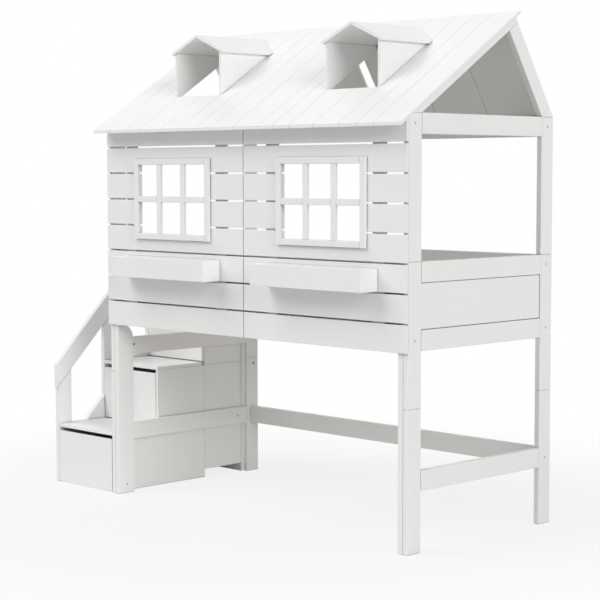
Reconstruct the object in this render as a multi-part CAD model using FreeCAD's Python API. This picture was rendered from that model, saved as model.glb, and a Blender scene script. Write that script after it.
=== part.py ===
import FreeCAD, Part
import math
import os

V = FreeCAD.Vector

# Frame of the bed, in millimetres
# x runs along the bed, y from the planked front to the back, z up from the floor
bed_length = 2070.0
bed_width = 1020.0
post_height = 1932.0
post_depth = 86.0
post_thick = 30.0
batten_thick = 30.0
batten_depth = 100.0
batten_corner_radius = 85.0
rail_height = 92.0
rail_thick = 30.0
edge_radius = 2.5
edge_bevel = 1.5
post_bevel = 2.5
point_tolerance = 0.5
overrun = 20.0

# Heights of the rails and of the joints in the posts
stretcher_low = 275.0
step_rail_low = 724.0
bed_rail_low = 894.0
lower_joint_height = 642.0
panel_height = 208.0
end_panel_thick = 18.0
end_panel_gap = 2.0
entry_width = 306.0

# Slatted base
ledger_width = 30.0
ledger_height = 30.0
slat_width = 70.0
slat_thick = 18.0
slat_count = 13

# Planked front wall
wall_low = 889.0
plank_height = 123.0
plank_gap = 8.0
plank_thick = 14.0
wall_seam = 5.0
wall_batten_width = 72.0
wall_batten_thick = 20.0
wall_batten_gap = 19.0
roof_clearance = 2.0

# Windows
window_width = 570.0
window_height = 403.0
window_drop = 189.0
window_stile = 34.0
window_rail = 30.0
window_thick = 14.0
muntin_width = 34.0
muntin_height = 30.0
muntin_thick = 12.0
muntin_count = 2

# Flower boxes
box_overhang = 65.0
box_depth = 115.0
box_height = 102.0
box_wall = 12.0
box_drop = 87.0

# Roof frame, whose two slopes meet at a right angle
ridge_place = 722.0
rafter_foot = 86.0
rafter_thick = 30.0
roof_board_thick = 13.0
roof_board_gap = 1.4
eave_overhang = 100.0
left_overhang = 12.0
right_overhang = 36.0
roof_joint_shares = (0.125, 0.245, 0.35, 0.508, 0.643, 0.75, 0.854)
right_joint_shares = (0.164, 0.253, 0.353, 0.5, 0.65, 0.752, 0.849)
purlin_width = 60.0
purlin_thick = 28.0
purlin_places = (120.0, 600.0)
back_board_drop = 19.0
back_middle_gap = 58.0
back_board_count = 3
back_joint_gap = 1.0
cross_batten_width = 60.0
cross_batten_places = (110.0, 400.0)

# Dormers
dormer_width = 343.0
dormer_wall = 13.0
dormer_front = 170.0
dormer_wall_height = 213.7
dormer_roof_half_width = 191.0
dormer_roof_overhang = 10.0
dormer_pitch = 23.75
dormer_place_share = 0.2519
dormers_left_by = 9.0

# Staircase at the left end
stair_inner_width = 442.0
stair_post_thick = 30.0
stair_post_depth = 86.0
stair_side_thick = 18.0
stair_shortfall = 8.0
stair_rise = 320.0
stair_steps = 3
first_tread_top = 318.0
tread_thick = 18.0
tread_setback = 3.0
stair_back_thick = 18.0
rear_side_low = 45.0
handrail_height = 92.0
handrail_front_low = 520.0
handrail_overhang = 8.0
handrail_nose_radius = 28.0
wing_slope_length = 126.0

# Drawers in the staircase
finger_gap = 20.0
front_thick = 18.0
front_clearance = 2.0
front_lift = 4.0
shut_gap = 1.0
drawer_wall = 12.0
drawer_floor = 6.0
drawer_floor_lift = 10.0
drawer_side_height_share = 0.62
drawer_back_clearance = 16.0
runner_room = 13.0
runner_height = 15.0
slide_height = 18.0
slide_clearance = 0.5
slide_level_share = 0.35

# Worked out from the sizes above
back_y = bed_width - post_depth
guard_low = bed_rail_low + rail_height + panel_height
guard_top = guard_low + rail_height
window_low = post_height - window_drop - window_height
box_width = window_width + 2 * box_overhang
wall_batten_offset = window_width / 2 + wall_batten_gap + wall_batten_width / 2
slope_rise = math.sqrt(ridge_place * (bed_width - ridge_place))
front_tan = slope_rise / ridge_place
front_angle = math.atan(front_tan)
front_slope_length = ridge_place / math.cos(front_angle)
back_slope_length = (bed_width - ridge_place) / math.sin(front_angle)
stair_inner_x = -stair_side_thick - stair_inner_width
stair_left_x = stair_inner_x - stair_post_thick
stair_run = (back_y + stair_shortfall) / stair_steps
stair_tan = stair_rise / stair_run
half_length = bed_length / 2
parallel_share = 0.99

nodes = {}


def box(low, high):
    """A plain block between two corners."""
    return Part.makeBox(high[0] - low[0], high[1] - low[1], high[2] - low[2], V(*low))


def long_edges(solid, direction):
    """The edges of a solid that run along one direction."""
    chosen = []
    for edge in solid.Edges:
        span = edge.Vertexes[-1].Point - edge.Vertexes[0].Point
        if span.Length > 0 and abs(span.dot(direction)) > parallel_share * span.Length:
            chosen.append(edge)
    return chosen


def face_edges(solid):
    """The edges round the two broad faces of a plate that stands along the bed's width."""
    return [edge for edge in solid.Edges if edge.BoundBox.XLength < point_tolerance]


def rounded(solid, direction):
    """Rounds the edges that run along one direction, as on boards that hands meet."""
    return solid.makeFillet(edge_radius, long_edges(solid, direction))


def bevelled(solid, direction):
    """Takes the sharpness off the edges that run along one direction."""
    return solid.makeChamfer(edge_bevel, long_edges(solid, direction))


X_WAY = V(1, 0, 0)
Y_WAY = V(0, 1, 0)
Z_WAY = V(0, 0, 1)
UP_FRONT = V(0, math.cos(front_angle), math.sin(front_angle))
UP_BACK = V(0, -math.sin(front_angle), math.cos(front_angle))


def round_board(low, high, grain):
    """A board with its long edges rounded."""
    return rounded(box(low, high), grain)


def bevel_board(low, high, grain):
    """A board with its long edges bevelled."""
    return bevelled(box(low, high), grain)


def bevel_block(low, high, size=edge_bevel):
    """A block with every edge bevelled, so that a seam shows where it meets the next."""
    block = box(low, high)
    return block.makeChamfer(size, block.Edges)


def side_plate(outline, x_low, x_high):
    """A plate with an outline of (y, z) points, standing between two x planes."""
    points = [V(x_low, y, z) for y, z in outline]
    face = Part.Face(Part.makePolygon(points + points[:1]))
    return face.extrude(V(x_high - x_low, 0, 0))


def front_plate(outline, y_low, y_high):
    """A plate with an outline of (x, z) points, standing between two y planes."""
    points = [V(x, y_low, z) for x, z in outline]
    face = Part.Face(Part.makePolygon(points + points[:1]))
    return face.extrude(V(0, y_high - y_low, 0))


def flat_plate(outline, z_low, z_high):
    """A plate with an outline of (x, y) points, lying between two z planes."""
    points = [V(x, y, z_low) for x, y in outline]
    face = Part.Face(Part.makePolygon(points + points[:1]))
    return face.extrude(V(0, 0, z_high - z_low))


def front_point(along, under):
    """A (y, z) point of the front slope, measured up it from the wall and square under it."""
    return (along * math.cos(front_angle) + under * math.sin(front_angle),
            post_height + along * math.sin(front_angle) - under * math.cos(front_angle))


def back_point(along, under):
    """A (y, z) point of the back slope, measured up it from the back face and square under it."""
    return (bed_width - along * math.sin(front_angle) - under * math.cos(front_angle),
            post_height + along * math.cos(front_angle) - under * math.sin(front_angle))


def add(name, solids):
    """Keeps the solids of one piece or group under its name."""
    nodes[name] = solids


def make_post(x_low, y_low):
    """One post as three boards, one on another, with every edge bevelled."""
    joints = (0, lower_joint_height, guard_top, post_height)
    segments = []
    for low, high in zip(joints, joints[1:]):
        top_corner = (x_low + post_thick, y_low + post_depth, high)
        segments.append(bevel_block((x_low, y_low, low), top_corner, post_bevel))
    return segments


def make_posts():
    """The four posts, and the battens inside the front pair that carry the front bed rail."""
    right_x = bed_length - post_thick
    for side, x_low in (("left", 0), ("right", right_x)):
        for end, y_low in (("front", 0), ("back", back_y)):
            add(side + "_" + end + "_post", make_post(x_low, y_low))
    battens = []
    for x_low in (post_thick, right_x - batten_thick):
        low = (x_low, 0, 0)
        high = (x_low + batten_thick, batten_depth, bed_rail_low)
        batten = box(low, high)
        top_corner = [edge for edge in long_edges(batten, X_WAY)
                      if edge.Vertexes[0].Point.y > 0 and edge.Vertexes[0].Point.z > 0]
        batten = batten.makeFillet(batten_corner_radius, top_corner)
        battens.append(batten.makeChamfer(edge_bevel, face_edges(batten)))
    add("front_post_battens", battens)


def end_rail(x_low, z_low, y_high=back_y):
    """A rail across one end, between the posts."""
    low = (x_low, post_depth, z_low)
    high = (x_low + rail_thick, y_high, z_low + rail_height)
    return round_board(low, high, Y_WAY)


def end_panel(x_low, y_high):
    """The thin panel that fills the space between two rails of one end."""
    inset = (rail_thick - end_panel_thick) / 2
    low = (x_low + inset, post_depth, bed_rail_low + rail_height + end_panel_gap)
    high = (x_low + inset + end_panel_thick, y_high - end_panel_gap, guard_low - end_panel_gap)
    return bevel_board(low, high, Y_WAY)


def make_ends():
    """The rails and panels of the closed right end and of the left end with its entry."""
    right_x = bed_length - rail_thick
    gable_low = post_height - rail_height
    add("right_stretcher", [end_rail(right_x, stretcher_low)])
    add("right_bed_rail", [end_rail(right_x, bed_rail_low)])
    add("right_end_panel", [end_panel(right_x, back_y)])
    add("right_guard_rail", [end_rail(right_x, guard_low)])
    entry_y = back_y - entry_width
    add("left_stretcher", [end_rail(0, stretcher_low)])
    add("left_step_rail", [end_rail(0, step_rail_low)])
    add("left_bed_rail", [end_rail(0, bed_rail_low)])
    add("gable_rails", [end_rail(0, gable_low), end_rail(right_x, gable_low)])
    upright_y = entry_y - post_depth
    low = (0, upright_y, bed_rail_low + rail_height)
    upright = round_board(low, (post_thick, entry_y, guard_top), Z_WAY)
    add("left_end_guard", [end_rail(0, guard_low, upright_y), end_panel(0, upright_y), upright])


def long_rail(y_middle, z_low, height=rail_height, thick=rail_thick):
    """A rail along the bed between the posts, centred on one y plane."""
    low = (post_thick, y_middle - thick / 2, z_low)
    high = (bed_length - post_thick, y_middle + thick / 2, z_low + height)
    return round_board(low, high, X_WAY)


def make_long_rails():
    """The rails along the front and the back, and the guards of rail and panel."""
    front_middle = post_depth / 2
    back_middle = bed_width - post_depth / 2
    plate_low = post_height - rail_height
    rails = (("front_bed_rail", front_middle, bed_rail_low), ("front_top_plate", front_middle, plate_low),
             ("back_stretcher", back_middle, stretcher_low), ("back_bed_rail", back_middle, bed_rail_low),
             ("back_guard_rail", back_middle, guard_low), ("back_top_plate", back_middle, plate_low))
    for name, y_middle, z_low in rails:
        add(name, [long_rail(y_middle, z_low)])
    panel_low = bed_rail_low + rail_height
    add("back_panel", [long_rail(back_middle, panel_low, panel_height, end_panel_thick)])
    front_panel = long_rail(front_middle, panel_low, panel_height, end_panel_thick)
    add("front_guard", [front_panel, long_rail(front_middle, guard_low)])


def make_base():
    """The ledgers on the long bed rails and the slats that lie on them."""
    inset = post_thick
    front_y = post_depth / 2 + rail_thick / 2
    rear_y = bed_width - front_y
    ledgers = []
    for y_low in (front_y, rear_y - ledger_width):
        low = (inset, y_low, bed_rail_low)
        high = (bed_length - inset, y_low + ledger_width, bed_rail_low + ledger_height)
        ledgers.append(box(low, high))
    add("slat_ledgers", ledgers)
    room = bed_length - 2 * inset
    space = (room - slat_count * slat_width) / (slat_count + 1)
    slats = []
    for index in range(slat_count):
        x_low = inset + space + index * (slat_width + space)
        low = (x_low, front_y, bed_rail_low + ledger_height)
        high = (x_low + slat_width, rear_y, bed_rail_low + ledger_height + slat_thick)
        slats.append(bevel_board(low, high, Y_WAY))
    add("bed_slats", slats)


def wall_top():
    """The top of the front wall, just under the roof boards at its face."""
    return post_height - plank_thick * front_tan - roof_clearance


def window_centres():
    """The two windows stand in the middle of the two halves of the wall."""
    return (half_length / 2, bed_length - half_length / 2)


def window_hole(centre):
    """The cut in the planks behind one window, flush with the inside of its frame."""
    half = window_width / 2 - window_stile
    low = (centre - half, -plank_thick - overrun, window_low + window_rail)
    high = (centre + half, overrun, window_low + window_height - window_rail)
    return box(low, high)


def make_wall():
    """The front wall in two halves of eight planks each, on upright battens."""
    halves = (("left", 0, half_length - wall_seam / 2), ("right", half_length + wall_seam / 2, bed_length))
    plank_rows = math.ceil((wall_top() - wall_low) / (plank_height + plank_gap))
    battens = []
    for (side, x_low, x_high), centre in zip(halves, window_centres()):
        planks = []
        for row in range(plank_rows):
            low_z = wall_low + row * (plank_height + plank_gap)
            high_z = min(low_z + plank_height, wall_top())
            plank = bevel_board((x_low, -plank_thick, low_z), (x_high, 0, high_z), X_WAY)
            planks.extend(plank.cut(window_hole(centre)).Solids)
        add("front_planks_" + side, planks)
        for way in (-1, 1):
            x_middle = centre + way * wall_batten_offset
            low = (x_middle - wall_batten_width / 2, 0, wall_low)
            high = (x_middle + wall_batten_width / 2, wall_batten_thick, wall_top())
            battens.append(bevel_board(low, high, Z_WAY))
    add("wall_battens", battens)


def make_window(side, centre):
    """One window: a frame of stiles and rails on the planks, and its glazing bars."""
    left_x = centre - window_width / 2
    right_x = centre + window_width / 2
    top_z = window_low + window_height
    face_y = -plank_thick - window_thick
    frame = []
    for x_low in (left_x, right_x - window_stile):
        high = (x_low + window_stile, -plank_thick, top_z)
        frame.append(round_board((x_low, face_y, window_low), high, Z_WAY))
    for z_low in (window_low, top_z - window_rail):
        low = (left_x + window_stile, face_y, z_low)
        high = (right_x - window_stile, -plank_thick, z_low + window_rail)
        frame.append(round_board(low, high, X_WAY))
    inner_width = window_width - 2 * window_stile
    pane_width = (inner_width - muntin_count * muntin_width) / (muntin_count + 1)
    bar_low_z = window_low + window_rail
    bar_high_z = top_z - window_rail
    middle_z = (bar_low_z + bar_high_z) / 2
    bar_y = face_y + muntin_thick
    x_low = left_x + window_stile
    for index in range(muntin_count + 1):
        low = (x_low, face_y, middle_z - muntin_height / 2)
        high = (x_low + pane_width, bar_y, middle_z + muntin_height / 2)
        frame.append(bevel_board(low, high, X_WAY))
        x_low = x_low + pane_width
        if index < muntin_count:
            high = (x_low + muntin_width, bar_y, bar_high_z)
            frame.append(bevel_board((x_low, face_y, bar_low_z), high, Z_WAY))
            x_low = x_low + muntin_width
    add(side + "_window", frame)


def make_flower_box(side, centre):
    """One open flower box of five boards, on the face of the planks."""
    left_x = centre - box_width / 2
    right_x = centre + box_width / 2
    back = -plank_thick
    front = back - box_depth
    high_z = window_low - box_drop
    low_z = high_z - box_height
    boards = [round_board((left_x, front, low_z), (right_x, front + box_wall, high_z), X_WAY)]
    low = (left_x + box_wall, back - box_wall, low_z)
    boards.append(round_board(low, (right_x - box_wall, back, high_z), X_WAY))
    for x_low in (left_x, right_x - box_wall):
        boards.append(bevel_board((x_low, front + box_wall, low_z), (x_low + box_wall, back, high_z), Y_WAY))
    low = (left_x + box_wall, front + box_wall, low_z)
    high = (right_x - box_wall, back - box_wall, low_z + box_wall)
    boards.append(box(low, high))
    add(side + "_flower_box", boards)


def make_rafters():
    """Two pairs of rafters that stand on the posts and meet square at the ridge."""
    depth = rafter_foot * math.sin(front_angle)
    back_depth = rafter_foot * math.cos(front_angle)
    front_outline = [(0, post_height), (rafter_foot, post_height)]
    front_outline.append(front_point(front_slope_length, depth))
    front_outline.append(front_point(front_slope_length, 0))
    back_outline = [(bed_width, post_height), (bed_width - rafter_foot, post_height)]
    back_outline.append(back_point(back_slope_length - depth, back_depth))
    back_outline.append(back_point(back_slope_length - depth, 0))
    for side, x_low in (("left", 0), ("right", bed_length - rafter_thick)):
        front = side_plate(front_outline, x_low, x_low + rafter_thick)
        back = side_plate(back_outline, x_low, x_low + rafter_thick)
        add(side + "_front_rafter", [rounded(front, UP_FRONT)])
        add(side + "_back_rafter", [rounded(back, UP_BACK)])


def slope_strip(point, place, width, low, high):
    """A strip along the bed on one slope, between two depths under its outer plane."""
    outline = [point(place, low), point(place + width, low), point(place + width, high), point(place, high)]
    return side_plate(outline, rafter_thick, bed_length - rafter_thick)


def make_purlins():
    """Purlins under the boards of the front slope, and battens over those of the back slope."""
    last_place = front_slope_length - back_board_drop - roof_board_thick - purlin_width
    strips = [slope_strip(front_point, place, purlin_width, 0, purlin_thick)
              for place in purlin_places + (last_place,)]
    for place in cross_batten_places:
        strips.append(slope_strip(back_point, place, cross_batten_width, 0, back_board_drop))
    add("roof_purlins", strips)


def dormer_centres():
    """The dormers stand evenly about the middle of the roof."""
    roof_middle = (bed_length + right_overhang - left_overhang) / 2
    offset = dormer_place_share * (bed_length + right_overhang + left_overhang)
    return (roof_middle - dormers_left_by - offset, roof_middle - dormers_left_by + offset)


def roof_top_z(y):
    """Height of the top of the front roof boards over one y plane."""
    return post_height + y * front_tan + roof_board_thick / math.cos(front_angle)


def dormer_under_z(offset):
    """Height of the underside of a dormer's roof, at a distance from its middle."""
    wall_top_z = roof_top_z(dormer_front) + dormer_wall_height
    return wall_top_z + (dormer_width / 2 - offset) * math.tan(math.radians(dormer_pitch))


def dormer_top_z(offset):
    """Height of the top of a dormer's roof, at a distance from its middle."""
    return dormer_under_z(offset) + roof_board_thick / math.cos(math.radians(dormer_pitch))


def dormer_back():
    """Where the level top of the dormer's walls runs out into the slope."""
    return dormer_front + dormer_wall_height / front_tan


def below_slope(under):
    """A large block of all that lies under one plane of the front slope."""
    low_corner = front_point(-front_slope_length, under)
    high_corner = front_point(2 * front_slope_length, under)
    outline = [low_corner, high_corner, (high_corner[0], 0), (low_corner[0], 0)]
    return side_plate(outline, -bed_length, 2 * bed_length)


def make_front_roof():
    """The boards of the front slope, with the openings of the dormers cut in them."""
    plumb_end = eave_overhang + roof_board_thick * front_tan
    section = [front_point(-plumb_end, 0), front_point(front_slope_length, 0)]
    section.append(front_point(front_slope_length, -roof_board_thick))
    section.append(front_point(-eave_overhang, -roof_board_thick))
    middle = (bed_length + right_overhang - left_overhang) / 2
    half_gap = roof_board_gap / 2
    halves = (("left", -left_overhang - half_gap, middle, roof_joint_shares),
              ("right", middle, bed_length + right_overhang + half_gap, right_joint_shares))
    for (side, x_low, x_high, shares), centre in zip(halves, dormer_centres()):
        low = (centre - dormer_width / 2, dormer_front, post_height)
        high = (centre + dormer_width / 2, dormer_back(), dormer_top_z(0))
        hole = box(low, high)
        edges = [x_low + share * (x_high - x_low) for share in (0,) + shares + (1,)]
        boards = []
        for start, end in zip(edges, edges[1:]):
            plate = side_plate(section, start + half_gap, end - half_gap)
            boards.extend(plate.cut(hole).Solids)
        add("front_roof_boards_" + side, boards)


def make_back_roof():
    """The wide boards of the back slope, let in between the rafters, with a gap in the middle."""
    inner_drop = back_board_drop + roof_board_thick
    section = [back_point(back_slope_length, under) for under in (back_board_drop, inner_drop)]
    for under in (inner_drop, back_board_drop):
        section.append(back_point(under * front_tan, under))
    half_room = half_length - rafter_thick - back_middle_gap / 2
    step = half_room / back_board_count
    boards = []
    for way, x_start in ((1, rafter_thick), (-1, bed_length - rafter_thick)):
        for index in range(back_board_count):
            near = x_start + way * index * step
            far = near + way * (step - back_joint_gap)
            plate = side_plate(section, min(near, far), max(near, far))
            boards.append(bevelled(plate, UP_BACK))
    add("back_roof_boards", boards)


def make_dormer(side, centre):
    """One dormer: two walls let into the slope and two roof boards that die into it."""
    pitch = math.radians(dormer_pitch)
    under_slope = below_slope(0)
    under_boards = below_slope(-roof_board_thick)
    walls = []
    roof = []
    for way in (-1, 1):
        outer = dormer_width / 2
        inner = outer - dormer_wall
        outline = [(centre + way * outer, post_height), (centre + way * outer, dormer_under_z(outer))]
        outline.append((centre + way * inner, dormer_under_z(inner)))
        outline.append((centre + way * inner, post_height))
        wall = front_plate(outline, dormer_front, dormer_back())
        walls.extend(wall.cut(under_slope).Solids)
        tip = dormer_roof_half_width
        tip_top = dormer_top_z(tip)
        shift = roof_board_thick * math.sin(pitch)
        tip_low = tip_top - roof_board_thick * math.cos(pitch)
        outline = [(centre, dormer_top_z(0)), (centre + way * tip, tip_top)]
        outline.append((centre + way * (tip - shift), tip_low))
        outline.append((centre, dormer_under_z(0)))
        slab = front_plate(outline, dormer_front - dormer_roof_overhang, ridge_place)
        roof.extend(slab.cut(under_boards).Solids)
    add(side + "_dormer_walls", walls)
    add(side + "_dormer_roof", roof)


def tread_top(step):
    """Height of one tread, the lowest being step one."""
    return first_tread_top + (step - 1) * stair_rise


def step_front(step):
    """The y plane of the front of one step."""
    return (step - 1) * stair_run


def handrail_low(y):
    """Height of the underside of the handrail, which turns level at the top."""
    return min(handrail_front_low + y * stair_tan, guard_top - handrail_height)


def handrail_turn(level, start):
    """The y plane where a sloping edge that starts at one height meets a level."""
    return (level - start) / stair_tan


def make_handrail():
    """The sloping handrail with its rounded nose, and the level rail beside the top step."""
    upright = handrail_height / math.cos(math.atan(stair_tan))
    level_low = guard_top - handrail_height
    low_turn = handrail_turn(level_low, handrail_front_low)
    top_turn = handrail_turn(guard_top, handrail_front_low + upright)
    nose_low = handrail_front_low - handrail_overhang * stair_tan
    nose_top = nose_low + upright
    front = -handrail_overhang
    outline = [(front, nose_low), (low_turn, level_low), (top_turn, guard_top), (front, nose_top)]
    rail = side_plate(outline, stair_left_x, stair_inner_x)
    nose = [edge for edge in rail.Edges
            if all(abs(vertex.Point.y - front) < point_tolerance
                   and abs(vertex.Point.z - nose_top) < point_tolerance
                   for vertex in edge.Vertexes)]
    rail = rail.makeFillet(handrail_nose_radius, nose)
    level = [(low_turn, level_low), (back_y, level_low), (back_y, guard_top), (top_turn, guard_top)]
    pieces = (rail, side_plate(level, stair_left_x, stair_inner_x))
    add("stair_handrail", [piece.makeChamfer(post_bevel, face_edges(piece)) for piece in pieces])


def make_stair_posts():
    """The uprights that carry the handrail."""
    turn = handrail_turn(guard_top - handrail_height, handrail_front_low)
    starts = [step_front(step) for step in range(1, stair_steps + 1)]
    posts = []
    for y_low in starts + [back_y - stair_post_depth]:
        y_high = y_low + stair_post_depth
        outline = [(y_low, 0), (y_high, 0), (y_high, handrail_low(y_high))]
        if y_low < turn < y_high:
            outline.append((turn, handrail_low(turn)))
        outline.append((y_low, handrail_low(y_low)))
        posts.append(rounded(side_plate(outline, stair_left_x, stair_inner_x), Z_WAY))
    add("stair_posts", posts)


def make_stair_boards():
    """The boards between the uprights, with a sloping wing above each of the lower treads."""
    boards = []
    for step in range(1, stair_steps + 1):
        near = step_front(step) + stair_post_depth
        far = back_y - stair_post_depth if step == stair_steps else step_front(step + 1)
        top = tread_top(step)
        outline = [(near, 0), (far, 0)]
        if step < stair_steps:
            outline.append((far, top + wing_slope_length * stair_tan))
            outline.append((far - wing_slope_length, top))
        else:
            outline.append((far, top))
        outline.append((near, top))
        board = side_plate(outline, stair_left_x, stair_inner_x)
        boards.append(board.makeChamfer(edge_bevel, face_edges(board)))
    add("stair_side_boards", boards)


def make_stair_carcase():
    """The stepped panel that faces the bed, the panels behind it, the divider and the back."""
    panel_front = front_thick + shut_gap
    last_front = step_front(stair_steps)
    divider_end = last_front + front_thick
    lower_top = tread_top(1) - tread_thick
    module_top = tread_top(stair_steps - 1) - tread_thick
    upper_top = tread_top(stair_steps) - tread_thick
    back_front = back_y - stair_back_thick
    outline = [(panel_front, 0), (divider_end, 0), (divider_end, module_top)]
    outline.append((step_front(stair_steps - 1), module_top))
    outline.append((step_front(stair_steps - 1), lower_top))
    outline.append((panel_front, lower_top))
    stepped = side_plate(outline, -stair_side_thick, 0)
    add("stair_side_front", [stepped.makeChamfer(edge_bevel, face_edges(stepped))])
    low = (-stair_side_thick, divider_end, rear_side_low)
    lower = bevel_block(low, (0, back_front, module_top))
    low = (-stair_side_thick, divider_end + shut_gap, module_top)
    upper = bevel_block(low, (0, back_front, upper_top))
    add("stair_side_rear", [lower, upper])
    divider = box((stair_inner_x, last_front, 0), (-stair_side_thick, divider_end, module_top))
    low = (stair_inner_x, last_front, module_top)
    shelf = box(low, (-stair_side_thick, back_front, module_top + tread_thick))
    add("stair_divider", [divider, shelf])
    add("stair_back", [box((stair_inner_x, back_front, 0), (0, back_y, upper_top))])


def make_treads():
    """The three treads; the lowest runs on inside as the floor over the lowest drawer."""
    inner = -stair_side_thick
    second_front = step_front(stair_steps - 1)
    last_front = step_front(stair_steps)
    outline = [(stair_inner_x, tread_setback), (0, tread_setback), (0, second_front), (inner, second_front)]
    outline.append((inner, last_front))
    outline.append((stair_inner_x, last_front))
    lowest = flat_plate(outline, tread_top(1) - tread_thick, tread_top(1))
    add("tread_1", [lowest.makeChamfer(edge_bevel, lowest.Edges)])
    upper_treads = ((stair_steps - 1, second_front, last_front), (stair_steps, last_front, back_y))
    for step, y_low, y_high in upper_treads:
        low = (stair_inner_x, y_low, tread_top(step) - tread_thick)
        add("tread_" + str(step), [bevel_block(low, (0, y_high, tread_top(step)))])


def make_drawer(step, name, right_edge, room_end):
    """One drawer, its front level with the step's, and the strips that carry and guide it."""
    face_y = step_front(step)
    box_front = face_y + front_thick
    front_low = max(0, tread_top(step - 1)) + front_lift
    front_high = tread_top(step) - tread_thick - finger_gap
    left = stair_inner_x
    right = -stair_side_thick
    low = (left + front_clearance, face_y, front_low)
    high = (right_edge - front_clearance, box_front, front_high)
    add(name + "_drawer_front", [round_board(low, high, X_WAY)])
    box_back = room_end - drawer_back_clearance
    side_low = front_low + drawer_floor_lift
    side_high = side_low + drawer_side_height_share * (front_high - front_low)
    slide_low = side_low + slide_level_share * (side_high - side_low)
    slide_high = slide_low + slide_height
    pieces = []
    strips = []
    for wall, way in ((left, 1), (right, -1)):
        outer = wall + way * runner_room
        inner = outer + way * drawer_wall
        low = (min(outer, inner), box_front, side_low)
        pieces.append(bevel_board(low, (max(outer, inner), box_back, side_high), Y_WAY))
        tip = wall + way * slide_clearance
        low = (min(outer, tip), box_front + shut_gap, slide_low + slide_clearance)
        pieces.append(box(low, (max(outer, tip), box_back, slide_high - slide_clearance)))
        edge = outer - way * slide_clearance
        for strip_low in (slide_low - runner_height, slide_high):
            low = (min(wall, edge), box_front + shut_gap, strip_low)
            strips.append(box(low, (max(wall, edge), box_back, strip_low + runner_height)))
    cross_left = left + runner_room + drawer_wall
    cross_right = right - runner_room - drawer_wall
    rear = box_back - drawer_wall
    pieces.append(box((cross_left, rear, side_low), (cross_right, box_back, side_high)))
    pieces.append(box((cross_left, box_front, side_low), (cross_right, rear, side_low + drawer_floor)))
    add(name + "_drawer_box", pieces)
    return strips


def make_staircase():
    """The whole staircase with its drawers."""
    make_handrail()
    make_stair_posts()
    make_stair_boards()
    make_stair_carcase()
    make_treads()
    last_front = step_front(stair_steps)
    strips = make_drawer(1, "lower", 0, last_front)
    strips = strips + make_drawer(stair_steps - 1, "middle", -stair_side_thick, last_front)
    strips = strips + make_drawer(stair_steps, "upper", 0, back_y - stair_back_thick)
    add("drawer_runners", strips)


def export_nodes():
    """Moves the model so that the middle of its base is the origin, and writes the files."""
    x_middle = (stair_left_x + bed_length + right_overhang) / 2
    y_middle = (bed_width - plank_thick - box_depth) / 2
    shift = V(-x_middle, -y_middle, 0)
    os.makedirs("parts", exist_ok=True)
    for name, solids in nodes.items():
        moved = []
        for solid in solids:
            copy = solid.copy()
            copy.translate(shift)
            moved.append(copy)
        shape = moved[0] if len(moved) == 1 else Part.makeCompound(moved)
        shape.exportStep("parts/" + name + ".step")


def main():
    make_posts()
    make_ends()
    make_long_rails()
    make_base()
    make_wall()
    for side, centre in zip(("left", "right"), window_centres()):
        make_window(side, centre)
        make_flower_box(side, centre)
    make_rafters()
    make_purlins()
    make_front_roof()
    make_back_roof()
    for side, centre in zip(("left", "right"), dormer_centres()):
        make_dormer(side, centre)
    make_staircase()
    export_nodes()


main()
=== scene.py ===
import math

import bmesh
import bpy
from mathutils import Matrix, Vector


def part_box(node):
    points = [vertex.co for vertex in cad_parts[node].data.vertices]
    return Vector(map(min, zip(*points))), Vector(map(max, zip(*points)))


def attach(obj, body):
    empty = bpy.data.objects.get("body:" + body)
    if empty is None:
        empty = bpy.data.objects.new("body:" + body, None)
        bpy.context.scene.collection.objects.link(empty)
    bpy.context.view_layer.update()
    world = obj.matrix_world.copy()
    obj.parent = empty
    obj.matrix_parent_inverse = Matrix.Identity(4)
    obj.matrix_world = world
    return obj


bl_info = {
    "name": "House-shaped loft bed",
    "version": (1, 0, 0),
    "blender": (4, 5, 0),
    "location": "3D view, sidebar, Loft bed",
    "description": "White lacquer, bolts and studio for a house-shaped loft bed",
    "category": "Object",
}

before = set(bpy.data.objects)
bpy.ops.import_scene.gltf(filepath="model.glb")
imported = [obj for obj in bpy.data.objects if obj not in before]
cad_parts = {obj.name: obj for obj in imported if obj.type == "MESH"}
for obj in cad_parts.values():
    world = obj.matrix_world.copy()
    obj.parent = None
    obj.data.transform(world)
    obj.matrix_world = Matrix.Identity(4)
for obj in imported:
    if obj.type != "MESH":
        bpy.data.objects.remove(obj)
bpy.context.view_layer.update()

MM = 0.001
# The left posts' outer face, the front posts' front face and the floor meet here
CORNER = Vector((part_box("left_front_post")[0].x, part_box("left_front_post")[0].y, 0))
# Where the outer faces of the left and right posts are along x, and which way they look
END_FACES = ((CORNER.x, -1), (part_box("right_front_post")[1].x, 1))

# The lacquered boards, by the axis that their grain runs along
X_BOARDS = ("back_bed_rail", "back_guard_rail", "back_panel", "back_stretcher", "back_top_plate",
            "front_bed_rail", "front_guard", "front_top_plate",
            "front_planks_left", "front_planks_right", "left_flower_box", "right_flower_box",
            "left_dormer_roof", "right_dormer_roof", "roof_purlins", "slat_ledgers",
            "tread_1", "tread_2", "tread_3", "stair_divider",
            "lower_drawer_front", "middle_drawer_front", "upper_drawer_front")
Y_BOARDS = ("right_stretcher", "right_bed_rail", "right_end_panel", "right_guard_rail", "gable_rails",
            "left_stretcher", "left_step_rail", "left_bed_rail", "left_end_guard", "stair_handrail",
            "left_front_rafter", "right_front_rafter", "left_back_rafter", "right_back_rafter",
            "front_roof_boards_left", "front_roof_boards_right", "back_roof_boards",
            "left_dormer_walls", "right_dormer_walls",
            "lower_drawer_box", "middle_drawer_box", "upper_drawer_box")
Z_BOARDS = ("left_front_post", "left_back_post", "right_front_post", "right_back_post",
            "front_post_battens", "wall_battens", "left_window", "right_window", "stair_posts",
            "stair_side_boards", "stair_side_front", "stair_side_rear", "stair_back")
BARE_BOARDS = ("bed_slats", "drawer_runners")

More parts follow.
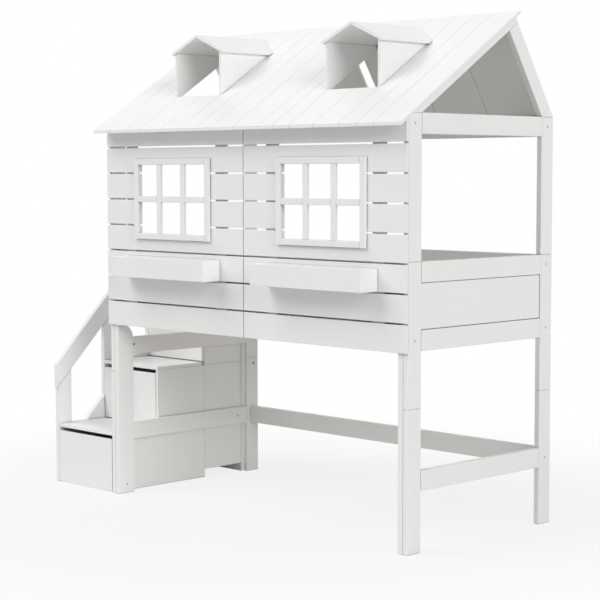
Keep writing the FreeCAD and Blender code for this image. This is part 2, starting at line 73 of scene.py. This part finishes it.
# The rails that are bolted to the posts through the middle of each end
BOLTED_RAILS = ("front_bed_rail", "front_top_plate", "back_stretcher", "back_bed_rail",
                "back_guard_rail", "back_top_plate")
# Screws in the inner faces of the left end, in millimetres: the piece, how far the screw is from its
# front face, or from its back one if below zero, and how far above its middle, or under it if below
PALE_SCREWS = (("left_stretcher", -69, 1),)
# These screw heads are coloured near black: painted shade that stands for the dark holes they sit in
DARK_HOLE_SCREWS = (("left_step_rail", 41, 6), ("left_back_post", -34, -359))
# The screw low in the batten of the left front post, in millimetres from CORNER
BATTEN_SCREW = (60, 50, 45)
# A bolt or screw head: the sides of its circle, its top and the rim of its socket as shares of its
# radius, and the depth of the socket as a share of its height
HEAD_SIDES = 24
HEAD_TAPER = 0.86
SOCKET_RIM = 0.4
SOCKET_DEPTH = 0.7

# Sizes of the lacquered pine's patterns, in millimetres: from one grain line to the next, drawn wider
# apart than real ones so that they show, how far a line runs, how wide the slow changes of tone are,
# and how wide the waves in the sprayed film
GRAIN_ACROSS = 7
GRAIN_ALONG = 700
TONE_WIDTH = 400
FILM_WAVE = 4
# The grain pattern's values at which the board has its darkest and its plain colour
TONE_DARKEST = 0.12
TONE_PLAIN = 0.42
# How high the grain stands next to the waves in the film, how high both stand, in metres, and how
# strongly they catch the light
GRAIN_RELIEF = 0.7
FILM_RELIEF = 0.3 * MM
FILM_BUMP = 0.03
# The values that a noise pattern seldom leaves, and the roughness of the satin film at each of them
NOISE_LOW = 0.3
NOISE_HIGH = 0.7
FILM_SMOOTHEST = 0.4
FILM_ROUGHEST = 0.48
# The share of clear gloss on top of the film
FILM_COAT = 0.15
# How many rays look for nearby parts around a point, to paint shade into the joints
PAINTED_SHADE_SAMPLES = 8
# Lacquer and bare wood bend light alike
WOOD_IOR = 1.5

# Sizes of the bare pine's growth rings, in millimetres: their spacing, and how wide and long they sway
RING_WIDTH = 6
SWAY_ACROSS = 72
SWAY_ALONG = 1700
# The share of a ring that is plain early wood
EARLY_WOOD = 0.35
# How high a ring's edge stands, in metres, and how strongly it catches the light
RING_RELIEF = 0.5 * MM
RING_BUMP = 0.1
PINE_ROUGHNESS = 0.62

# The turning marks of the steel, in millimetres, and how much they change its roughness
MARK_WIDTH = 1.1
MARK_ROUGHNESS = 0.06
ZINC_ROUGHNESS = 0.42
DARK_SCREW_ROUGHNESS = 0.5

WHITE = "#FFFFFF"
# How far the floor reaches to each side, in metres
FLOOR_REACH = 60
# The floor turns white between these distances from the object's middle, in metres, and starts from
# this share of white
FADE_START = 0.9
FADE_END = 3.4
FADE_LEAST = 0.82
# Where the lamps stand, seen from the object, and how wide they look from there, in degrees
KEY_WAY = (-0.44, -0.56, 0.71)
KEY_SPREAD = 45
SIDE_WAY = (0.91, -0.23, 0.36)
SIDE_SPREAD = 30
# The photograph's width and the camera's focal length, both in pixels
PHOTO_WIDTH = 600
FOCAL_LENGTH = 1678.48
# The camera's place, in millimetres from CORNER, and its turns, in radians
CAMERA_PLACE = (6892.0, -5412.8, 1672.65)
CAMERA_YAW = -0.7924
CAMERA_PITCH = -0.0757
CAMERA_ROLL = -0.0013
SENSOR_WIDTH = 36.0
# The camera sees nothing nearer or farther than this, in metres
VIEW_NEAREST = 0.1
VIEW_FARTHEST = 200


class BedSettings(bpy.types.PropertyGroup):
    """Sizes, colours and lights that a user would change."""

    lacquer: bpy.props.StringProperty(
        name="Lacquer", description="sRGB hex colour of the lacquer", default="#F0F0EF")
    lacquer_shade: bpy.props.StringProperty(
        name="Lacquer shade", description="sRGB hex colour of the lacquer over dark grain",
        default="#EDEDEC")
    # Painted shade: the colour that the lacquer is darkened towards in joints, and how far from a part
    # this painted shade reaches
    painted_seam_shade_colour: bpy.props.StringProperty(
        name="Seam shade", description="sRGB hex colour of the shade that joints hold",
        default="#8C8C8A")
    painted_seam_shade_reach: bpy.props.FloatProperty(
        name="Seam reach", description="How far the shade of a joint reaches",
        default=7.0 * MM, unit="LENGTH", precision=4)
    pine_light: bpy.props.StringProperty(
        name="Pine, early wood", description="sRGB hex colour between the rings", default="#E8D9BE")
    pine_dark: bpy.props.StringProperty(
        name="Pine, late wood", description="sRGB hex colour of the rings", default="#DCC7A2")
    bolt_colour: bpy.props.StringProperty(
        name="Bolt steel", description="sRGB hex colour of the bolt heads", default="#B2B3B4")
    # Painted shade: the near-black colour of the inner screw heads, which stands for the shade of their
    # holes
    screw_hole_shade_colour: bpy.props.StringProperty(
        name="Screw steel", description="sRGB hex colour of the blackened screws", default="#4A4A4A")
    bolt_radius: bpy.props.FloatProperty(
        name="Bolt head radius", description="Radius of a bolt or screw head",
        default=5.5 * MM, unit="LENGTH", precision=4)
    bolt_height: bpy.props.FloatProperty(
        name="Bolt head height", description="How far a bolt or screw head stands out",
        default=1.8 * MM, unit="LENGTH", precision=4)
    floor_colour: bpy.props.StringProperty(
        name="Floor", description="sRGB hex colour of the floor", default="#D2D2D2")
    sky_strength: bpy.props.FloatProperty(
        name="Sky", description="How brightly the even sky lights the object", default=0.36)
    key_strength: bpy.props.FloatProperty(
        name="Key light", description="Strength of the lamp from above, in front and to the left",
        default=1.7)
    side_strength: bpy.props.FloatProperty(
        name="Side light", description="Strength of the low lamp from the right", default=1.46)


def point(x, y, z):
    """A point from its distances in millimetres from CORNER."""
    return CORNER + Vector((x, y, z)) * MM


def linear(colour):
    """Turns an sRGB hex colour into linear values for shaders, by the curve of the sRGB standard."""
    parts = [int(colour[place:place + 2], 16) / 255 for place in (1, 3, 5)]
    return [part / 12.92 if part <= 0.04045 else ((part + 0.055) / 1.055) ** 2.4
            for part in parts] + [1]


def node(tree, kind, links=None, **settings):
    """Adds one node, with its settings, input values and links."""
    made = tree.nodes.new(kind)
    for name, value in settings.items():
        setattr(made, name, value)
    for socket, value in (links or {}).items():
        if isinstance(value, bpy.types.NodeSocket):
            tree.links.new(value, made.inputs[socket])
        else:
            made.inputs[socket].default_value = value
    return made


def new_material(name):
    """An empty material, and its node tree."""
    material = bpy.data.materials.new(name)
    material.use_nodes = True
    material.node_tree.nodes.clear()
    return material, material.node_tree


def per_metre(size):
    """How often a pattern of a size in millimetres repeats in a metre."""
    return 1 / (size * MM)


def stretched(grain_way, across, along):
    """The scale of a pattern that is drawn out along the grain, from its sizes in millimetres."""
    return [per_metre(along if axis == grain_way else across) for axis in "XYZ"]


def paint_seam_shade(tree, colour, settings):
    """Paints shade into the colour where nearby parts shut out light, by ambient occlusion, which draws
    each seam as a fine grey line.
    """
    unoccluded_share = node(tree, "ShaderNodeAmbientOcclusion",
                      {"Distance": settings.painted_seam_shade_reach}, samples=PAINTED_SHADE_SAMPLES)
    with_painted_shade = node(tree, "ShaderNodeMix",
                  {"Factor": unoccluded_share.outputs["AO"], "A": linear(settings.painted_seam_shade_colour), "B": colour},
                  data_type="RGBA")
    return with_painted_shade.outputs["Result"]


def lacquered_pine(grain_way, settings):
    """Pine under sprayed satin lacquer: an even, pale face, the grain only just felt through it."""
    material, tree = new_material("white_lacquered_pine_along_" + grain_way.lower())
    place = node(tree, "ShaderNodeTexCoord").outputs["Object"]
    drawn_out = node(tree, "ShaderNodeMapping",
                     {"Vector": place, "Scale": stretched(grain_way, GRAIN_ACROSS, GRAIN_ALONG)})
    grain = node(tree, "ShaderNodeTexNoise",
                 {"Vector": drawn_out.outputs["Vector"], "Scale": 1.0, "Detail": 3.0, "Roughness": 0.5})
    # The tone also changes slowly along the run of a board, which keeps a long one from looking printed
    cloud = node(tree, "ShaderNodeTexNoise",
                 {"Vector": place, "Scale": per_metre(TONE_WIDTH), "Detail": 2.0})
    tone = node(tree, "ShaderNodeMath", {0: grain.outputs["Fac"], 1: cloud.outputs["Fac"]},
                operation="MULTIPLY")
    ramp = node(tree, "ShaderNodeValToRGB", {"Fac": tone.outputs["Value"]})
    darkest, plain = ramp.color_ramp.elements
    darkest.position, darkest.color = TONE_DARKEST, linear(settings.lacquer_shade)
    plain.position, plain.color = TONE_PLAIN, linear(settings.lacquer)
    # A sprayed film is a little uneven, like orange peel, which softens what it mirrors
    peel = node(tree, "ShaderNodeTexNoise",
                {"Vector": place, "Scale": per_metre(FILM_WAVE), "Detail": 1.0})
    relief = node(tree, "ShaderNodeMath",
                  {0: grain.outputs["Fac"], 1: GRAIN_RELIEF, 2: peel.outputs["Fac"]},
                  operation="MULTIPLY_ADD")
    bump = node(tree, "ShaderNodeBump",
                {"Height": relief.outputs["Value"], "Strength": FILM_BUMP, "Distance": FILM_RELIEF})
    gloss = node(tree, "ShaderNodeMapRange",
                 {"Value": grain.outputs["Fac"], "From Min": NOISE_LOW, "From Max": NOISE_HIGH,
                  "To Min": FILM_SMOOTHEST, "To Max": FILM_ROUGHEST})
    # The base colour carries shade painted into the joints
    shader = node(tree, "ShaderNodeBsdfPrincipled",
                  {"Base Color": paint_seam_shade(tree, ramp.outputs["Color"], settings),
                   "Roughness": gloss.outputs["Result"], "Normal": bump.outputs["Normal"],
                   "IOR": WOOD_IOR, "Coat Weight": FILM_COAT})
    node(tree, "ShaderNodeOutputMaterial", {"Surface": shader.outputs["BSDF"]})
    return material


def bare_pine(grain_way, settings):
    """Planed pine without a finish: matt and warm, with growth rings drawn out along the board."""
    material, tree = new_material("bare_planed_pine")
    place = node(tree, "ShaderNodeTexCoord").outputs["Object"]
    drawn_out = node(tree, "ShaderNodeMapping",
                     {"Vector": place, "Scale": stretched(grain_way, SWAY_ACROSS, SWAY_ALONG)})
    sway = node(tree, "ShaderNodeTexNoise",
                {"Vector": drawn_out.outputs["Vector"], "Scale": 1.0, "Detail": 2.0})
    rings = node(tree, "ShaderNodeMath", {0: sway.outputs["Fac"], 1: SWAY_ACROSS / RING_WIDTH},
                 operation="MULTIPLY")
    lines = node(tree, "ShaderNodeMath", {0: rings.outputs["Value"]}, operation="FRACT")
    ramp = node(tree, "ShaderNodeValToRGB", {"Fac": lines.outputs["Value"]})
    early, late = ramp.color_ramp.elements
    early.position, early.color = EARLY_WOOD, linear(settings.pine_light)
    late.color = linear(settings.pine_dark)
    bump = node(tree, "ShaderNodeBump",
                {"Height": lines.outputs["Value"], "Strength": RING_BUMP, "Distance": RING_RELIEF})
    shader = node(tree, "ShaderNodeBsdfPrincipled",
                  {"Base Color": ramp.outputs["Color"], "Normal": bump.outputs["Normal"],
                   "Roughness": PINE_ROUGHNESS, "IOR": WOOD_IOR})
    node(tree, "ShaderNodeOutputMaterial", {"Surface": shader.outputs["BSDF"]})
    return material


def steel(name, colour, roughness):
    """Plated steel, or steel coloured near black as painted shade of screw holes: a dull shine, broken
    up by turning marks coarser than real ones.
    """
    material, tree = new_material(name)
    place = node(tree, "ShaderNodeTexCoord").outputs["Object"]
    marks = node(tree, "ShaderNodeTexNoise",
                 {"Vector": place, "Scale": per_metre(MARK_WIDTH), "Detail": 2.0})
    gloss = node(tree, "ShaderNodeMapRange",
                 {"Value": marks.outputs["Fac"], "To Min": roughness - MARK_ROUGHNESS,
                  "To Max": roughness + MARK_ROUGHNESS})
    shader = node(tree, "ShaderNodeBsdfPrincipled",
                  {"Base Color": linear(colour), "Metallic": 1.0, "Roughness": gloss.outputs["Result"]})
    node(tree, "ShaderNodeOutputMaterial", {"Surface": shader.outputs["BSDF"]})
    return material


def dress(names, material):
    """Gives one material to CAD nodes."""
    for name in names:
        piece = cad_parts[name]
        piece.data.materials.clear()
        piece.data.materials.append(material)


class LOFT_BED_OT_lacquer(bpy.types.Operator):
    """Gives every board its lacquer, with the grain along the board"""
    bl_idname = "loft_bed.lacquer"
    bl_label = "Lacquer the boards"

    def execute(self, context):
        for names, grain_way in ((X_BOARDS, "X"), (Y_BOARDS, "Y"), (Z_BOARDS, "Z")):
            dress(names, lacquered_pine(grain_way, context.scene.loft_bed))
        return {"FINISHED"}


class LOFT_BED_OT_bare_boards(bpy.types.Operator):
    """Gives the slats and the drawer runners their bare pine"""
    bl_idname = "loft_bed.bare_boards"
    bl_label = "Bare pine boards"

    def execute(self, context):
        dress(BARE_BOARDS, bare_pine("Y", context.scene.loft_bed))
        return {"FINISHED"}


def new_piece(name, shape, body, material):
    """Keeps a finished bmesh as a piece that rides on a body."""
    mesh = bpy.data.meshes.new(name)
    bmesh.ops.recalc_face_normals(shape, faces=shape.faces)
    shape.to_mesh(mesh)
    shape.free()
    mesh.materials.append(material)
    piece = bpy.data.objects.new(name, mesh)
    bpy.context.scene.collection.objects.link(piece)
    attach(piece, body)


def bolt_head(shape, centre, way, radius, height):
    """One low round head with a round socket sunk into it, standing out along x."""
    turn = Matrix.Rotation(math.pi / 2 * way, 4, "Y")
    before = set(shape.verts)
    made = bmesh.ops.create_circle(shape, cap_ends=True, radius=radius, segments=HEAD_SIDES)
    face = made["verts"][0].link_faces[0]
    raised = bmesh.ops.extrude_face_region(shape, geom=[face])
    top = [part for part in raised["geom"] if isinstance(part, bmesh.types.BMVert)]
    top_face = [part for part in raised["geom"] if isinstance(part, bmesh.types.BMFace)][0]
    bmesh.ops.translate(shape, verts=top, vec=(0, 0, height))
    bmesh.ops.scale(shape, verts=top, vec=(HEAD_TAPER, HEAD_TAPER, 1))
    bmesh.ops.inset_region(shape, faces=[top_face], thickness=radius * SOCKET_RIM)
    bmesh.ops.translate(shape, verts=list(top_face.verts), vec=(0, 0, -height * SOCKET_DEPTH))
    bmesh.ops.transform(shape, matrix=Matrix.Translation(centre) @ turn,
                        verts=[vert for vert in shape.verts if vert not in before])


def screw_heads(shape, places, size):
    """Heads on the inner faces of pieces at the left end, which look along the bed."""
    for name, along, above in places:
        low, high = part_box(name)
        y = (low.y if along > 0 else high.y) + along * MM
        bolt_head(shape, Vector((high.x, y, (low.z + high.z) / 2 + above * MM)), 1, *size)


class LOFT_BED_OT_bolts(bpy.types.Operator):
    """Adds the heads of the bolts and screws that hold the rails to the posts"""
    bl_idname = "loft_bed.bolts"
    bl_label = "Rail bolts and screws"

    def execute(self, context):
        settings = context.scene.loft_bed
        size = (settings.bolt_radius, settings.bolt_height)
        shape = bmesh.new()
        for name in BOLTED_RAILS:
            low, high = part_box(name)
            middle = (low + high) / 2
            for x, way in END_FACES:
                bolt_head(shape, Vector((x, middle.y, middle.z)), way, *size)
        screw_heads(shape, PALE_SCREWS, size)
        bolt_head(shape, point(*BATTEN_SCREW), 1, *size)
        zinc_plated = steel("zinc_plated_steel", settings.bolt_colour, ZINC_ROUGHNESS)
        new_piece("rail_bolt_heads", shape, "bed", zinc_plated)
        # The inner screw heads, coloured near black as painted shade of their holes
        shape = bmesh.new()
        screw_heads(shape, DARK_HOLE_SCREWS, size)
        darkened = steel("dark_steel_for_hole_shade", settings.screw_hole_shade_colour, DARK_SCREW_ROUGHNESS)
        new_piece("end_rail_screws", shape, "bed", darkened)
        return {"FINISHED"}


def seen_directly(tree):
    """One for rays from the camera, a mirror or glass, and zero for those that light the object."""
    path = node(tree, "ShaderNodeLightPath")
    seen_or_mirrored = node(tree, "ShaderNodeMath",
                            {0: path.outputs["Is Camera Ray"], 1: path.outputs["Is Glossy Ray"]},
                            operation="MAXIMUM")
    return node(tree, "ShaderNodeMath",
                {0: seen_or_mirrored.outputs["Value"], 1: path.outputs["Is Transmission Ray"]},
                operation="MAXIMUM").outputs["Value"]


def floor_material(colour):
    """A pale matt floor that holds the object's soft shadow and fades to the backdrop's white."""
    material, tree = new_material("pale_studio_floor")
    matt = node(tree, "ShaderNodeBsdfDiffuse", {"Color": linear(colour)})
    white = node(tree, "ShaderNodeEmission", {"Color": linear(WHITE), "Strength": 1.0})
    place = node(tree, "ShaderNodeTexCoord").outputs["Object"]
    distance = node(tree, "ShaderNodeVectorMath", {0: place}, operation="LENGTH")
    fade = node(tree, "ShaderNodeMapRange",
                {"Value": distance.outputs["Value"], "From Min": FADE_START, "From Max": FADE_END,
                 "To Min": FADE_LEAST, "To Max": 1.0},
                interpolation_type="SMOOTHSTEP")
    share = node(tree, "ShaderNodeMath", {0: fade.outputs["Result"], 1: seen_directly(tree)},
                 operation="MULTIPLY")
    mixed = node(tree, "ShaderNodeMixShader",
                 {0: share.outputs["Value"], 1: matt.outputs["BSDF"], 2: white.outputs["Emission"]})
    node(tree, "ShaderNodeOutputMaterial", {"Surface": mixed.outputs["Shader"]})
    return material


def add_floor(colour):
    """A wide level floor under the object."""
    shape = bmesh.new()
    bmesh.ops.create_grid(shape, x_segments=1, y_segments=1, size=FLOOR_REACH)
    mesh = bpy.data.meshes.new("studio_floor")
    shape.to_mesh(mesh)
    shape.free()
    mesh.materials.append(floor_material(colour))
    floor = bpy.data.objects.new("studio_floor", mesh)
    bpy.context.scene.collection.objects.link(floor)


def add_sky(strength):
    """An even sky that lights from all sides and is white where it is seen."""
    world = bpy.data.worlds.new("soft_sky")
    bpy.context.scene.world = world
    world.use_nodes = True
    tree = world.node_tree
    tree.nodes.clear()
    light = node(tree, "ShaderNodeBackground", {"Color": linear(WHITE), "Strength": strength})
    white = node(tree, "ShaderNodeBackground", {"Color": linear(WHITE), "Strength": 1.0})
    mixed = node(tree, "ShaderNodeMixShader",
                 {0: seen_directly(tree), 1: light.outputs["Background"],
                  2: white.outputs["Background"]})
    node(tree, "ShaderNodeOutputWorld", {"Surface": mixed.outputs["Shader"]})


def add_lamp(name, way, spread, strength):
    """A wide and distant soft lamp that lights the object evenly from one way."""
    lamp = bpy.data.lights.new(name, "SUN")
    lamp.angle = math.radians(spread)
    lamp.energy = strength
    holder = bpy.data.objects.new(name, lamp)
    holder.rotation_euler = (-Vector(way)).to_track_quat("-Z", "Y").to_euler()
    bpy.context.scene.collection.objects.link(holder)


def add_camera():
    """The camera at the photograph's place and angle."""
    camera = bpy.data.cameras.new("photo_camera")
    camera.sensor_fit = "HORIZONTAL"
    camera.sensor_width = SENSOR_WIDTH
    camera.lens = SENSOR_WIDTH * FOCAL_LENGTH / PHOTO_WIDTH
    camera.clip_start = VIEW_NEAREST
    camera.clip_end = VIEW_FARTHEST
    forward = Vector((math.sin(CAMERA_YAW) * math.cos(CAMERA_PITCH),
                      math.cos(CAMERA_YAW) * math.cos(CAMERA_PITCH),
                      math.sin(CAMERA_PITCH)))
    facing = forward.to_track_quat("-Z", "Y").to_matrix().to_4x4()
    roll = Matrix.Rotation(CAMERA_ROLL, 4, "Z")
    holder = bpy.data.objects.new("photo_camera", camera)
    holder.matrix_world = Matrix.Translation(point(*CAMERA_PLACE)) @ facing @ roll
    bpy.context.scene.collection.objects.link(holder)
    bpy.context.scene.camera = holder


class LOFT_BED_OT_studio(bpy.types.Operator):
    """Adds the floor, the soft lights, the sky and the camera"""
    bl_idname = "loft_bed.studio"
    bl_label = "Studio"

    def execute(self, context):
        settings = context.scene.loft_bed
        context.scene.view_settings.view_transform = "Standard"
        add_floor(settings.floor_colour)
        add_sky(settings.sky_strength)
        add_lamp("key_light", KEY_WAY, KEY_SPREAD, settings.key_strength)
        add_lamp("side_light", SIDE_WAY, SIDE_SPREAD, settings.side_strength)
        add_camera()
        return {"FINISHED"}


OPERATORS = (LOFT_BED_OT_lacquer, LOFT_BED_OT_bare_boards, LOFT_BED_OT_bolts, LOFT_BED_OT_studio)


class VIEW3D_PT_loft_bed(bpy.types.Panel):
    """Lists the settings and the steps of the loft bed"""
    bl_label = "Loft bed"
    bl_space_type = "VIEW_3D"
    bl_region_type = "UI"
    bl_category = "Loft bed"

    def draw(self, context):
        for name in BedSettings.__annotations__:
            self.layout.prop(context.scene.loft_bed, name)
        for operator in OPERATORS:
            self.layout.operator(operator.bl_idname)


CLASSES = (BedSettings, *OPERATORS, VIEW3D_PT_loft_bed)


def register():
    """Makes the settings, the operators and the panel known to Blender."""
    for one in CLASSES:
        bpy.utils.register_class(one)
    bpy.types.Scene.loft_bed = bpy.props.PointerProperty(type=BedSettings)


def unregister():
    """Takes the settings, the operators and the panel out of Blender again."""
    del bpy.types.Scene.loft_bed
    for one in reversed(CLASSES):
        bpy.utils.unregister_class(one)


def main():
    """Dresses the bed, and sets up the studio."""
    register()
    bpy.ops.loft_bed.lacquer()
    bpy.ops.loft_bed.bare_boards()
    bpy.ops.loft_bed.bolts()
    bpy.ops.loft_bed.studio()
    bpy.context.view_layer.update()


if __name__ == "__main__":
    main()
